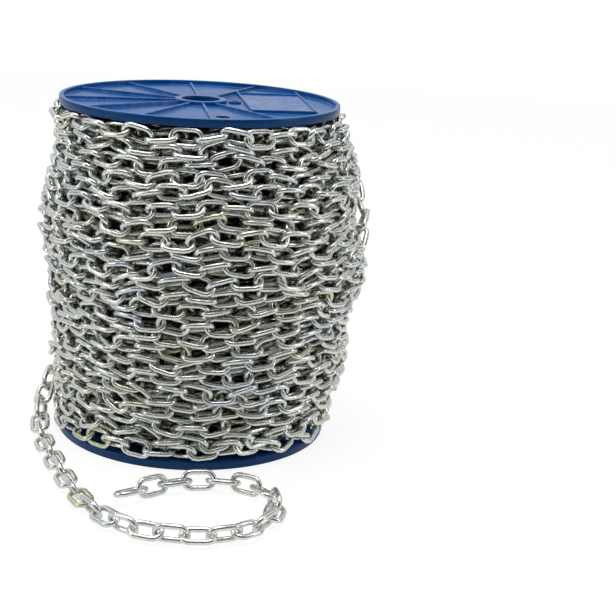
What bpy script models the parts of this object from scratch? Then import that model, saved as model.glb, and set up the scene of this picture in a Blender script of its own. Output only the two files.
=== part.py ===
"""A plastic reel of zinc-plated steel chain, standing on its lower flange.

The reel is two moulded flanges on a barrel.  Short-link chain of 4 mm wire is wound on it until
the winding bulges past the flanges, and the chain's loose end runs down to the floor in front.
Metres, +Z up.  The origin is the middle of the whole object's footprint, on the floor.
"""
import math

import bpy
import bmesh
from mathutils import Matrix, Vector

# Reel
FLANGE_RADIUS = 0.110
REEL_HEIGHT = 0.270
RIM_HEIGHT = 0.0064
RIM_WALL = 0.0035
RIM_EDGE = 0.0006
WEB_THICKNESS = 0.0026
BORE_RADIUS = 0.015
HUB_RADIUS = 0.0205
HUB_BELOW_RIM = 0.0004
BARREL_RADIUS = 0.040
BARREL_WALL = 0.003
FLANGE_SIDES = 64
BARREL_SIDES = 40
HOLE_SIDES = 24

# Ribs and label panel on each flange's outer face
SPOKES = 12
SPOKE_OFFSET = math.radians(5)
PANEL_SPOKES = (11, 0, 1)
RIB_WIDTH = 0.0022
RIB_BELOW_RIM = 0.0012
PANEL_NEAR = 0.034
PANEL_FAR = 0.086
PANEL_HALF_WIDTH = 0.048
PANEL_BORDER = 0.0018
PANEL_FLOOR_ABOVE_WEB = 0.0014
NEAR_WALL_REACH = 0.064
WALL_INSET = 0.0002
BITE = 0.0005

# Holes through each flange beside the bore
TIE_HOLE = (0.0735, math.radians(-77), 0.0055)
PEG_HOLE = (0.0275, math.radians(12), 0.0030)
PEG_BOSS_WALL = 0.0020

# Chain: wire, pitch and outer width of one link
WIRE = 0.004
PITCH = 0.019
LINK_WIDTH = 0.016
LINK_ARC_STEPS = 5
WIRE_SIDES = 8

# Winding
CLEARANCE = 0.0003
TURNS = 24
LINKS_PER_TURN = 40
WINDING_TOP = 0.258
CORE_RADIUS = 0.090
LOPSIDED = 0.0095
BULGE = (
    (0.000, 0.1095),
    (0.045, 0.1205),
    (0.104, 0.1270),
    (0.175, 0.1343),
    (0.228, 0.1245),
    (0.260, 0.1120),
)

# Relief of the outer turns: how far a wound link's lower wire, its middle and its upper wire lie
# behind the outermost wires, as it lies flat, leans, stands on edge and leans the other way
FLAT_LAY = (0.0015, 0.0105, 0.0015)
LEANING_LAY = (0.0015, 0.0060, 0.0100)
EDGE_LAY = (0.0080, 0.0, 0.0080)
FALLING_LAY = (0.0100, 0.0060, 0.0015)
LAYS = (FLAT_LAY, LEANING_LAY, EDGE_LAY, FALLING_LAY)
LINKS_PER_TWIST = 4
WIRE_SHARES = (0.18, 0.50, 0.82)
EDGE_DIP = 0.0040
ROW_WAVES = ((3, 0.0026, 21.0, 0.7), (5, 0.0017, -34.0, 2.1))

# Loose end: the way that the middle of the chain takes from the winding to its last link,
# measured from the reel's axis
TAIL_SLACK = 0.0008
TAIL_STEP = PITCH - TAIL_SLACK
TAIL_LINKS = 30
TAIL_ROUTE = (
    (-0.1165, 0.017, 0.0335),
    (-0.1205, -0.004, 0.0245),
    (-0.1220, -0.024, 0.0155),
    (-0.1205, -0.044, 0.0095),
    (-0.1165, -0.064, 0.0070),
    (-0.1105, -0.086, 0.0070),
    (-0.1035, -0.107, 0.0070),
    (-0.0960, -0.130, 0.0070),
    (-0.0875, -0.154, 0.0070),
    (-0.0780, -0.177, 0.0070),
    (-0.0665, -0.198, 0.0070),
    (-0.0510, -0.217, 0.0070),
    (-0.0320, -0.231, 0.0070),
    (-0.0110, -0.237, 0.0070),
    (0.0100, -0.239, 0.0070),
    (0.0300, -0.235, 0.0070),
    (0.0480, -0.222, 0.0070),
    (0.0595, -0.206, 0.0070),
    (0.0635, -0.187, 0.0070),
    (0.0590, -0.168, 0.0070),
    (0.0460, -0.1535, 0.0070),
    (0.0270, -0.1455, 0.0070),
    (0.0030, -0.145, 0.0070),
    (-0.0170, -0.152, 0.0070),
    (-0.0340, -0.163, 0.0070),
    (-0.0520, -0.174, 0.0070),
)
STANDING_ROLL = math.radians(70)
FLAT_ROLL = math.radians(-20)
ROLL_SWING = math.radians(5)
ROLL_SWING_BEAT = 2.4
FLAT_LINK_HEIGHT = 0.0069
ROUTE_STRIDE = 0.0005
SHARP_EDGE = math.radians(35)


def clear_scene():
    """Remove what the scene holds, so that it holds only this object."""
    for obj in list(bpy.data.objects):
        bpy.data.objects.remove(obj, do_unlink=True)


def material(name, color, roughness, metallic):
    """Make one Principled material."""
    mat = bpy.data.materials.new(name)
    mat.use_nodes = True
    shader = mat.node_tree.nodes["Principled BSDF"]
    shader.inputs["Base Color"].default_value = (*color, 1.0)
    shader.inputs["Roughness"].default_value = roughness
    shader.inputs["Metallic"].default_value = metallic
    mat.diffuse_color = (*color, 1.0)
    return mat


def add_object(name, mesh, mat):
    """Put a mesh in the scene as a named object with its material."""
    mesh.name = name
    mesh.materials.clear()
    mesh.materials.append(mat)
    obj = bpy.data.objects.new(name, mesh)
    bpy.context.scene.collection.objects.link(obj)
    return obj


def smooth_through(points, x):
    """Height at x of a smooth curve through points that run along x."""
    last = len(points) - 2
    i = min(max(sum(1 for p in points if p[0] <= x) - 1, 0), last)
    before, a, b, after = (points[max(i - 1, 0)], points[i], points[i + 1], points[min(i + 2, last + 1)])
    span = b[0] - a[0]
    slope_a = (b[1] - before[1]) / (b[0] - before[0]) * span
    slope_b = (after[1] - a[1]) / (after[0] - a[0]) * span
    t = min(max((x - a[0]) / span, 0.0), 1.0)
    return (
        (2 * t**3 - 3 * t**2 + 1) * a[1]
        + (t**3 - 2 * t**2 + t) * slope_a
        + (3 * t**2 - 2 * t**3) * b[1]
        + (t**3 - t**2) * slope_b
    )


def mesh_from_loops(name, loops):
    """Close a grid of vertex loops into one ring-shaped solid.

    A turned solid's loops run anticlockwise about +Z, and follow each other up the outside and
    down the bore.  A bent wire's loops run round the wire, and follow each other along it.
    """
    bm = bmesh.new()
    rows = [[bm.verts.new(point) for point in loop] for loop in loops]
    sides = len(rows[0])
    for m, row in enumerate(rows):
        above = rows[(m + 1) % len(rows)]
        for j in range(sides):
            k = (j + 1) % sides
            bm.faces.new((row[j], row[k], above[k], above[j]))
    bmesh.ops.triangulate(bm, faces=bm.faces[:], quad_method="FIXED")
    mesh = bpy.data.meshes.new(name)
    bm.to_mesh(mesh)
    bm.free()
    return mesh


def circle(radius, height, sides):
    """Points of one level circle about the Z axis."""
    step = 2 * math.pi / sides
    return [(radius * math.cos(i * step), radius * math.sin(i * step), height) for i in range(sides)]


def turned(name, profile, sides):
    """Turn an outline of (radius, height) points, outside upwards, about the Z axis."""
    return mesh_from_loops(name, [circle(radius, height, sides) for radius, height in profile])


def block(name, low, high, turn=0.0):
    """A box between two corners, turned about the Z axis."""
    bm = bmesh.new()
    bmesh.ops.create_cube(bm, size=1.0)
    size = Vector(high) - Vector(low)
    middle = (Vector(high) + Vector(low)) / 2
    place = Matrix.Rotation(turn, 4, "Z") @ Matrix.Translation(middle) @ Matrix.Diagonal((*size, 1.0))
    bmesh.ops.transform(bm, matrix=place, verts=bm.verts[:])
    mesh = bpy.data.meshes.new(name)
    bm.to_mesh(mesh)
    bm.free()
    return mesh


def post(name, centre, radius, low, high):
    """An upright round post or drill."""
    bm = bmesh.new()
    place = Matrix.Translation((centre[0], centre[1], (low + high) / 2))
    size = {"radius1": radius, "radius2": radius, "depth": high - low}
    bmesh.ops.create_cone(bm, cap_ends=True, segments=HOLE_SIDES, matrix=place, **size)
    mesh = bpy.data.meshes.new(name)
    bm.to_mesh(mesh)
    bm.free()
    return mesh


def combined(body, steps, mat):
    """Join meshes to a body, or cut them from it, and return the finished mesh."""
    work = add_object("flange_body", body, mat)
    tools = []
    for operation, mesh in steps:
        tool = add_object("flange_tool", mesh, mat)
        tool.hide_render = True
        tool.display_type = "WIRE"
        modifier = work.modifiers.new(operation.lower(), "BOOLEAN")
        modifier.operation = operation
        modifier.object = tool
        tools.append(tool)
    evaluated = work.evaluated_get(bpy.context.evaluated_depsgraph_get())
    finished = bpy.data.meshes.new_from_object(evaluated)
    for obj in [work, *tools]:
        bpy.data.objects.remove(obj, do_unlink=True)
    return finished


def polar(radius, angle):
    """A point in the plane, from its radius and angle."""
    return (radius * math.cos(angle), radius * math.sin(angle))


def flange_mesh(mat):
    """One flange with its outer face up: rim, web, hub ring, ribs, label panel and holes.

    The face that meets the winding is the plane z = 0.
    """
    hub_top = RIM_HEIGHT - HUB_BELOW_RIM
    inner = FLANGE_RADIUS - RIM_WALL
    profile = (
        (FLANGE_RADIUS - RIM_EDGE, 0.0),
        (FLANGE_RADIUS, RIM_EDGE),
        (FLANGE_RADIUS, RIM_HEIGHT - RIM_EDGE),
        (FLANGE_RADIUS - RIM_EDGE, RIM_HEIGHT),
        (inner, RIM_HEIGHT),
        (inner, WEB_THICKNESS),
        (HUB_RADIUS, WEB_THICKNESS),
        (HUB_RADIUS, hub_top),
        (BORE_RADIUS, hub_top),
        (BORE_RADIUS, 0.0),
    )
    body = turned("flange_body", profile, FLANGE_SIDES)
    foot = WEB_THICKNESS - BITE
    rib_top = RIM_HEIGHT - RIB_BELOW_RIM
    half = RIB_WIDTH / 2
    steps = []
    for spoke in range(SPOKES):
        if spoke in PANEL_SPOKES:
            continue
        angle = SPOKE_OFFSET + spoke * 2 * math.pi / SPOKES
        low = (HUB_RADIUS - 2 * BITE, -half, foot)
        high = (inner + 2 * BITE, half, rib_top)
        steps.append(("UNION", block("rib", low, high, angle)))

    # The panel's frame stands on the web, its near and far walls run on past it
    panel_low = (PANEL_NEAR, -PANEL_HALF_WIDTH, foot)
    panel_high = (PANEL_FAR, PANEL_HALF_WIDTH, rib_top)
    steps.append(("UNION", block("panel", panel_low, panel_high, SPOKE_OFFSET)))
    pocket_half = PANEL_HALF_WIDTH - PANEL_BORDER
    pocket_low = (PANEL_NEAR + PANEL_BORDER, -pocket_half, WEB_THICKNESS + PANEL_FLOOR_ABOVE_WEB)
    pocket_high = (PANEL_FAR - PANEL_BORDER, pocket_half, RIM_HEIGHT + BITE)
    steps.append(("DIFFERENCE", block("pocket", pocket_low, pocket_high, SPOKE_OFFSET)))
    far_reach = math.sqrt((inner + 2 * BITE) ** 2 - PANEL_FAR**2)
    walls = ((PANEL_NEAR, 1, NEAR_WALL_REACH), (PANEL_FAR - PANEL_BORDER, 1, far_reach))
    for near_edge, side, reach in (*walls, (PANEL_FAR - PANEL_BORDER, -1, far_reach)):
        ends = sorted((side * (PANEL_HALF_WIDTH - PANEL_BORDER / 2), side * reach))
        low = (near_edge + WALL_INSET, ends[0], foot - WALL_INSET)
        high = (near_edge + PANEL_BORDER - WALL_INSET, ends[1], rib_top - WALL_INSET)
        steps.append(("UNION", block("panel_wall", low, high, SPOKE_OFFSET)))

    peg_at = polar(PEG_HOLE[0], PEG_HOLE[1])
    tie_at = polar(TIE_HOLE[0], TIE_HOLE[1])
    boss_top = rib_top - 2 * BITE
    steps.append(("UNION", post("peg_boss", peg_at, PEG_HOLE[2] + PEG_BOSS_WALL, foot, boss_top)))
    drill = (-RIM_HEIGHT, 2 * RIM_HEIGHT)
    steps.append(("DIFFERENCE", post("peg_drill", peg_at, PEG_HOLE[2], *drill)))
    steps.append(("DIFFERENCE", post("tie_drill", tie_at, TIE_HOLE[2], *drill)))
    return combined(body, steps, mat)


def build_reel(mat):
    """The two flanges and the barrel between them."""
    mesh = flange_mesh(mat)
    top = add_object("top_flange", mesh, mat)
    top.location.z = REEL_HEIGHT - RIM_HEIGHT
    bottom = add_object("bottom_flange", mesh.copy(), mat)
    bottom.location.z = RIM_HEIGHT
    bottom.rotation_euler.x = math.pi
    low = RIM_HEIGHT + CLEARANCE
    high = REEL_HEIGHT - RIM_HEIGHT - CLEARANCE
    bore = BARREL_RADIUS - BARREL_WALL
    profile = ((BARREL_RADIUS, low), (BARREL_RADIUS, high), (bore, high), (bore, low))
    add_object("reel_barrel", turned("reel_barrel", profile, BARREL_SIDES), mat)


def winding_radius(height, angle):
    """How far the winding's outermost wires reach from the reel's axis."""
    foot = RIM_HEIGHT + CLEARANCE
    share = min(max((height - foot) / (WINDING_TOP - foot), 0.0), 1.0)
    return smooth_through(BULGE, height) + LOPSIDED * math.sin(math.pi * share) * math.cos(angle)


def row_wave(height, angle):
    """How far a turn of chain strays up or down from its level, fading towards the flanges."""
    foot = RIM_HEIGHT + CLEARANCE
    share = min(max((height - foot) / (WINDING_TOP - foot), 0.0), 1.0)
    waves = sum(size * math.sin(beats * angle + climb * height + start)
                for beats, size, climb, start in ROW_WAVES)
    return math.sqrt(math.sin(math.pi * share)) * waves


def wound_loop(height, dips):
    """One level of the winding's outside, as deep behind the outermost wires as the dips say."""
    step = 2 * math.pi / len(dips)
    loop = []
    for j, dip in enumerate(dips):
        level = height + row_wave(height, j * step)
        radius = winding_radius(level, j * step) - dip
        loop.append((radius * math.cos(j * step), radius * math.sin(j * step), level))
    return loop


def build_winding(mat):
    """The hidden inner turns as one plain core, and the outer turns as one solid.

    Each turn of the outer solid is a row of links, a quarter turn of roll from one to the next,
    and the chain twists by an eighth of a turn every few links.  Each link has three levels: its
    lower wire, its middle and its upper wire.  A flat link's middle is a pit, and a link on edge
    is a ridge.
    """
    low = RIM_HEIGHT + CLEARANCE
    bore = BARREL_RADIUS + CLEARANCE
    profile = ((CORE_RADIUS, low), (CORE_RADIUS, WINDING_TOP), (bore, WINDING_TOP), (bore, low))
    add_object("chain_inner_turns", turned("chain_inner_turns", profile, BARREL_SIDES), mat)

    sides = 2 * LINKS_PER_TURN
    turn_height = (WINDING_TOP - low) / TURNS
    flat_end = [EDGE_DIP] * sides
    loops = [wound_loop(low, flat_end)]
    for turn in range(TURNS):
        for part, share in enumerate(WIRE_SHARES):
            dips = []
            for j in range(sides):
                link = j // 2
                lay = 2 * link + link // LINKS_PER_TWIST + turn
                dips.append(LAYS[lay % len(LAYS)][part])
            loops.append(wound_loop(low + (turn + share) * turn_height, dips))
    loops.append(wound_loop(WINDING_TOP, flat_end))
    loops.append(circle(CORE_RADIUS + CLEARANCE, WINDING_TOP, sides))
    loops.append(circle(CORE_RADIUS + CLEARANCE, low, sides))
    add_object("chain_outer_turns", mesh_from_loops("chain_outer_turns", loops), mat)


def link_mesh():
    """One welded link: round wire bent to a long ring, lying flat along X about its middle."""
    bend = (LINK_WIDTH - WIRE) / 2
    half_straight = (PITCH + WIRE) / 2 - bend
    wire = WIRE / 2
    loops = []
    for end in (0, 1):
        for i in range(LINK_ARC_STEPS + 1):
            angle = -math.pi / 2 + math.pi * (end + i / LINK_ARC_STEPS)
            outward = Vector((math.cos(angle), math.sin(angle), 0.0))
            middle = outward * bend + Vector(((1 - 2 * end) * half_straight, 0.0, 0.0))
            ring = []
            for j in range(WIRE_SIDES):
                around = -(j + 0.5) * 2 * math.pi / WIRE_SIDES
                aside = math.cos(around) * outward + math.sin(around) * Vector((0, 0, 1))
                ring.append(middle + wire * aside)
            loops.append(ring)
    return mesh_from_loops("link", loops)


def route_point(route, t):
    """A point of the smooth curve through the route, t counted in route points."""
    i = min(max(int(t), 0), len(route) - 2)
    u = t - i
    a, b = Vector(route[i]), Vector(route[i + 1])
    before = Vector(route[i - 1]) if i > 0 else 2 * a - b
    after = Vector(route[i + 2]) if i + 2 < len(route) else 2 * b - a
    return 0.5 * (
        2 * a
        + (b - before) * u
        + (2 * before - 5 * a + 4 * b - after) * u**2
        + (3 * a - before - 3 * b + after) * u**3
    )


def tail_joints():
    """Points where the loose end's links join, one link step apart along the route."""
    joints = [route_point(TAIL_ROUTE, 0.0)]
    t = 0.0
    while len(joints) <= TAIL_LINKS and t < len(TAIL_ROUTE) - 1:
        t += ROUTE_STRIDE
        point = route_point(TAIL_ROUTE, t)
        if (point - joints[-1]).length >= TAIL_STEP:
            joints.append(point)
    return joints


def build_tail(mat):
    """The loose end: links that stand on edge and links that hang flat between them, in turn."""
    joints = tail_joints()
    floor_route = TAIL_ROUTE[-1][2]
    half_width = (LINK_WIDTH - WIRE) / 2
    for i in range(len(joints) - 1):
        standing = i % 2 == 0
        swing = ROLL_SWING * math.sin(ROLL_SWING_BEAT * i)
        roll = (STANDING_ROLL if standing else FLAT_ROLL) + swing
        along = (joints[i + 1] - joints[i]).normalized()
        side = along.cross(Vector((0, 0, 1))).normalized()
        above = side.cross(along)
        width = math.cos(roll) * side + math.sin(roll) * above
        normal = along.cross(width)
        middle = (joints[i] + joints[i + 1]) / 2
        if standing:
            middle.z += WIRE / 2 + half_width * abs(math.sin(roll)) - floor_route
        else:
            middle.z += FLAT_LINK_HEIGHT - floor_route
        turn = Matrix((along, width, normal)).transposed()
        obj = add_object(f"tail_link_{i + 1:02d}", link_mesh(), mat)
        obj.matrix_world = Matrix.Translation(middle) @ turn.to_4x4()


def stand_on_origin():
    """Hang every piece on one empty, and bring the footprint's middle over the origin."""
    bpy.context.view_layer.update()
    pieces = list(bpy.data.objects)
    corners = [obj.matrix_world @ vert.co for obj in pieces for vert in obj.data.vertices]
    low = [min(corner[axis] for corner in corners) for axis in range(3)]
    high = [max(corner[axis] for corner in corners) for axis in range(3)]
    root = bpy.data.objects.new("reel_of_chain", None)
    bpy.context.scene.collection.objects.link(root)
    for obj in pieces:
        obj.parent = root
    root.location = (-(low[0] + high[0]) / 2, -(low[1] + high[1]) / 2, -low[2])
    bpy.context.view_layer.update()


def shade_round():
    """Round surfaces are shaded smooth, and sharp edges stay crisp."""
    for obj in bpy.data.objects:
        if obj.type == "MESH":
            obj.data.shade_smooth()
            obj.data.set_sharp_from_angle(angle=SHARP_EDGE)


def main():
    clear_scene()
    blue_plastic = material("blue_plastic", (0.012, 0.060, 0.300), 0.38, 0.0)
    zinc_steel = material("zinc_steel", (0.62, 0.63, 0.61), 0.32, 1.0)
    build_reel(blue_plastic)
    build_winding(zinc_steel)
    build_tail(zinc_steel)
    shade_round()
    stand_on_origin()


main()
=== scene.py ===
# %% [markdown]
# A plastic reel wound full of zinc-plated steel chain
#
# The reel stands on its lower flange.  Short-link chain of 4 mm wire is wound on it until it
# bulges past the flanges, and the chain's loose end trails over the floor in front.  The packed
# model gives the sizes: every piece below is made at the place of the solid that it stands for.
# The flanges become smooth mouldings, and the winding becomes real links that lie on each other.

# %% Load the frame
import math

import bpy
import bmesh
import numpy as np
from mathutils import Matrix, Vector


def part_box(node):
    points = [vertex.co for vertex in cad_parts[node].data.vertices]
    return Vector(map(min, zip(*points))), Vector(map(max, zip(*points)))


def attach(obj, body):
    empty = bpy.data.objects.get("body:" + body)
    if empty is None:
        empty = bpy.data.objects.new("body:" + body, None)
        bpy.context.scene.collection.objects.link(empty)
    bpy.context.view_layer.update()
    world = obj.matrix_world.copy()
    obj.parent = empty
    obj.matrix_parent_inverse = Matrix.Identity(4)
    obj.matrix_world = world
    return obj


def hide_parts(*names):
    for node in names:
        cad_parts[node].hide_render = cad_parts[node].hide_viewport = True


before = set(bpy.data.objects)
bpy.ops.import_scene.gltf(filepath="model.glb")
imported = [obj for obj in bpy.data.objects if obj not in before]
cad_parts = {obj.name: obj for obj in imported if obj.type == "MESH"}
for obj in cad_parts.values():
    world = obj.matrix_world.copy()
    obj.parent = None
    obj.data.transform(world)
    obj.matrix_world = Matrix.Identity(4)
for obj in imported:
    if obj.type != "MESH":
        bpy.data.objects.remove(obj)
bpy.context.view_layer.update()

# %% [markdown]
# Driving sizes.  The axis, radius and height of the reel are read from the flanges' boxes, so
# nothing here has to be fitted by eye.  The chain's sizes are those of common short-link chain.
# Lengths are metres, except inside the winding's own cells, which say millimetres.

# %% Sizes read from the frame
low_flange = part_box("bottom_flange")
top_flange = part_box("top_flange")
barrel_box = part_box("reel_barrel")
AXIS = (low_flange[0] + low_flange[1]) / 2
AXIS.z = 0.0
FLANGE_RADIUS = (low_flange[1].x - low_flange[0].x) / 2
REEL_HEIGHT = top_flange[1].z
RIM_HEIGHT = low_flange[1].z
BARREL_RADIUS = (barrel_box[1].x - barrel_box[0].x) / 2
print("reel axis", tuple(round(v, 5) for v in AXIS), "radius", round(FLANGE_RADIUS, 4))

WIRE = 0.004
PITCH = 0.019
LINK_WIDTH = 0.016
BEND = (LINK_WIDTH - WIRE) / 2
HALF_STRAIGHT = (PITCH + WIRE) / 2 - BEND

# %% [markdown]
# Camera.  A photographer's tele lens stands a little over a metre away and looks down at the
# reel by sixteen degrees.  The direction is built from three turns: yaw, pitch and roll.

# %% Camera
CAMERA_BACK = 1.10369
CAMERA_UP = 0.42007
CAMERA_YAW = math.radians(4.847)
CAMERA_PITCH = math.radians(16.088)
CAMERA_ROLL = math.radians(3.157)
LENS = 81.56
SENSOR = 36.0


def add_object(name, data):
    """A new object in the scene."""
    thing = bpy.data.objects.new(name, data)
    bpy.context.scene.collection.objects.link(thing)
    return thing


def camera_at(back, up, yaw, pitch, roll):
    """A camera in front of the reel's axis, turned towards +X, down, and about its own line."""
    ahead = Vector((math.sin(yaw) * math.cos(pitch), math.cos(yaw) * math.cos(pitch), -math.sin(pitch)))
    level = Vector((math.cos(yaw), -math.sin(yaw), 0.0))
    above = level.cross(ahead)
    right = math.cos(roll) * level + math.sin(roll) * above
    above = right.cross(ahead)
    data = bpy.data.cameras.new("camera")
    data.lens = LENS
    data.sensor_width = SENSOR
    data.clip_end = 20.0
    camera = add_object("camera", data)
    turn = Matrix((right, above, -ahead)).transposed().to_4x4()
    camera.matrix_world = Matrix.Translation(AXIS + Vector((0.0, -back, up))) @ turn
    return camera


bpy.context.scene.camera = camera_at(CAMERA_BACK, CAMERA_UP, CAMERA_YAW, CAMERA_PITCH, CAMERA_ROLL)
bpy.context.scene.view_settings.view_transform = "Standard"
print("camera at", tuple(round(v, 3) for v in bpy.context.scene.camera.location))

# %% [markdown]
# Studio.  Bright metal has hardly any colour of its own: it shows what stands round it.  On a
# photographer's table that is white paper below and behind, a soft box above, and a dim room in
# front.  So each wire gets a bright line above and below, and a darker one between.  The world
# paints that room for light and reflections, while the eye sees plain white beyond the floor.

# %% Node and material helpers


def set_inputs(node, values):
    """Set a node's unlinked inputs, by name or by number."""
    for name, value in values.items():
        node.inputs[name].default_value = value


def node_at(tree, kind, x, y, inputs=None, **settings):
    """A new node in a tree, with its settings and the values of its unlinked inputs."""
    node = tree.nodes.new(kind)
    node.location = (x, y)
    for name, value in settings.items():
        setattr(node, name, value)
    set_inputs(node, inputs or {})
    return node


def ramp_stops(node, stops):
    """Set a colour ramp's stops from (position, grey or colour) pairs."""
    elements = node.color_ramp.elements
    while len(elements) > 1:
        elements.remove(elements[-1])
    for i, (position, value) in enumerate(stops):
        element = elements[0] if i == 0 else elements.new(position)
        element.position = position
        colour = value if isinstance(value, tuple) else (value, value, value)
        element.color = (*colour, 1.0)


def new_material(name, values):
    """A material, its tree and its shader, with the values that are the same all over."""
    paint = bpy.data.materials.new(name)
    paint.use_nodes = True
    shader = paint.node_tree.nodes["Principled BSDF"]
    set_inputs(shader, values)
    return paint, paint.node_tree, shader


# %% The room
ROOM_STRENGTH = 0.605
BRIGHT_SIDE = Vector((-0.08, 0.55, 0.83)).normalized()
ROOM_TONES = ((0.0, 0.06), (0.36, 0.05), (0.50, 0.22), (0.70, 0.70), (0.86, 1.3), (1.0, 1.2))


def build_world():
    """White for the eye; for light and reflections a room that is bright above and behind.

    The room's tones run from the side that faces away from the bright one, at 0, to that one.
    """
    world = bpy.data.worlds.new("studio")
    bpy.context.scene.world = world
    world.use_nodes = True
    tree = world.node_tree
    tree.nodes.clear()
    place = node_at(tree, "ShaderNodeTexCoord", -900, 0)
    facing = node_at(tree, "ShaderNodeVectorMath", -700, 0, {1: BRIGHT_SIDE}, operation="DOT_PRODUCT")
    level = node_at(tree, "ShaderNodeMapRange", -500, 0, {"From Min": -1.0})
    ramp = node_at(tree, "ShaderNodeValToRGB", -300, 0)
    ramp_stops(ramp, ROOM_TONES)
    room = node_at(tree, "ShaderNodeBackground", 0, 0, {"Strength": ROOM_STRENGTH})
    white = node_at(tree, "ShaderNodeBackground", 0, -150, {"Color": (1.0, 1.0, 1.0, 1.0)})
    path = node_at(tree, "ShaderNodeLightPath", 0, 350)
    mix = node_at(tree, "ShaderNodeMixShader", 200, 0)
    out = node_at(tree, "ShaderNodeOutputWorld", 400, 0)
    link = tree.links.new
    link(place.outputs["Generated"], facing.inputs[0])
    link(facing.outputs["Value"], level.inputs["Value"])
    link(level.outputs["Result"], ramp.inputs["Fac"])
    link(ramp.outputs["Color"], room.inputs["Color"])
    link(path.outputs["Is Camera Ray"], mix.inputs["Fac"])
    link(room.outputs[0], mix.inputs[1])
    link(white.outputs[0], mix.inputs[2])
    link(mix.outputs[0], out.inputs["Surface"])


build_world()
print("tones of the room:", len(ROOM_TONES))

# %% The floor
FLOOR_RADIUS = 2.4
FLOOR_SIDES = 64
FLOOR_PALE = 0.16
FLOOR_GLOW = 0.875
FLOOR_SHEEN = 0.66


def build_floor():
    """A plain pale floor, as white as the world to the eye, and white paper to the metal.

    The glow isn't light: it lifts the floor for what looks at it, straight or in a shiny wire.
    """
    mesh = bpy.data.meshes.new("floor")
    steps = [2 * math.pi * i / FLOOR_SIDES for i in range(FLOOR_SIDES)]
    rim = [(FLOOR_RADIUS * math.cos(a), FLOOR_RADIUS * math.sin(a), 0.0) for a in steps]
    mesh.from_pydata(rim, [], [tuple(range(FLOOR_SIDES))])
    floor = add_object("floor", mesh)
    pale = {"Base Color": (FLOOR_PALE, FLOOR_PALE, FLOOR_PALE, 1.0)}
    paint, tree, shader = new_material("pale_floor", {**pale, "Roughness": 0.8, "Specular IOR Level": 0.1})
    path = node_at(tree, "ShaderNodeLightPath", -400, 300)
    glow = node_at(tree, "ShaderNodeEmission", -100, -300)
    to_eye = node_at(tree, "ShaderNodeMath", -250, 100, {1: FLOOR_GLOW}, operation="MULTIPLY")
    lift = node_at(tree, "ShaderNodeMath", -100, 0, {1: FLOOR_SHEEN}, operation="MULTIPLY_ADD")
    both = node_at(tree, "ShaderNodeAddShader", 300, 100)
    out = tree.nodes["Material Output"]
    link = tree.links.new
    link(path.outputs["Is Camera Ray"], to_eye.inputs[0])
    link(path.outputs["Is Glossy Ray"], lift.inputs[0])
    link(to_eye.outputs[0], lift.inputs[2])
    link(lift.outputs[0], glow.inputs["Strength"])
    link(shader.outputs[0], both.inputs[0])
    link(glow.outputs[0], both.inputs[1])
    link(both.outputs[0], out.inputs["Surface"])
    mesh.materials.append(paint)


build_floor()
print("floor radius:", FLOOR_RADIUS)

# %% The lamps


def soft_lamp(name, place, size, power, target=(0.0, 0.0, 0.12)):
    """A rectangular soft lamp that faces a point, and that the eye doesn't see."""
    data = bpy.data.lights.new(name, "AREA")
    data.shape = "RECTANGLE"
    data.size, data.size_y = size
    data.energy = power
    lamp = add_object(name, data)
    lamp.location = place
    lamp.rotation_euler = (Vector(target) - Vector(place)).to_track_quat("-Z", "Y").to_euler()
    lamp.visible_camera = False


soft_lamp("overhead", (-0.1, -0.05, 1.25), (0.9, 0.6), 7.5)
soft_lamp("left", (-1.4, -0.45, 0.7), (0.3, 0.6), 3.0)
soft_lamp("right", (1.4, -0.35, 0.6), (0.2, 0.7), 2.4)

# %% [markdown]
# Shared effects.  Plastic and zinc are different, but both are uneven in tone and both have a
# fine relief.  Each effect is one node group with named inputs, placed in a material with that
# material's own values.  The groups put out masks and normals only; the shader stays outside.

# %% Node group helpers


def new_group(name, inputs, outputs):
    """An empty shader node group with its sockets, and its two end nodes."""
    tree = bpy.data.node_groups.new(name, "ShaderNodeTree")
    for label, kind, value in inputs:
        socket = tree.interface.new_socket(label, in_out="INPUT", socket_type=kind)
        if value is not None:
            socket.default_value = value
    for label, kind in outputs:
        tree.interface.new_socket(label, in_out="OUTPUT", socket_type=kind)
    start = node_at(tree, "NodeGroupInput", -900, 0)
    end = node_at(tree, "NodeGroupOutput", 500, 0)
    return tree, start, end


def place_group(tree, group, x, y, **values):
    """Put a node group in a material, with its own values."""
    own = {name.replace("_", " "): value for name, value in values.items()}
    return node_at(tree, "ShaderNodeGroup", x, y, own, node_tree=group)


# %% Uneven tone


def uneven_tone_group():
    """A soft cloudy mask, for stains, patches of a painted edge highlight and changes of gloss."""
    inputs = (
        ("Place", "NodeSocketVector", None),
        ("Scale", "NodeSocketFloat", 40.0),
        ("Low", "NodeSocketFloat", 0.40),
        ("High", "NodeSocketFloat", 0.62),
    )
    tree, start, end = new_group("uneven_tone", inputs, (("Mask", "NodeSocketFloat"),))
    noise = node_at(tree, "ShaderNodeTexNoise", -600, 0, {"Detail": 4.0, "Roughness": 0.6})
    spread = node_at(tree, "ShaderNodeMapRange", -200, 0, interpolation_type="SMOOTHSTEP")
    link = tree.links.new
    link(start.outputs["Place"], noise.inputs["Vector"])
    link(start.outputs["Scale"], noise.inputs["Scale"])
    link(noise.outputs["Fac"], spread.inputs["Value"])
    link(start.outputs["Low"], spread.inputs["From Min"])
    link(start.outputs["High"], spread.inputs["From Max"])
    link(spread.outputs["Result"], end.inputs["Mask"])
    return tree


# %% Fine relief


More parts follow.
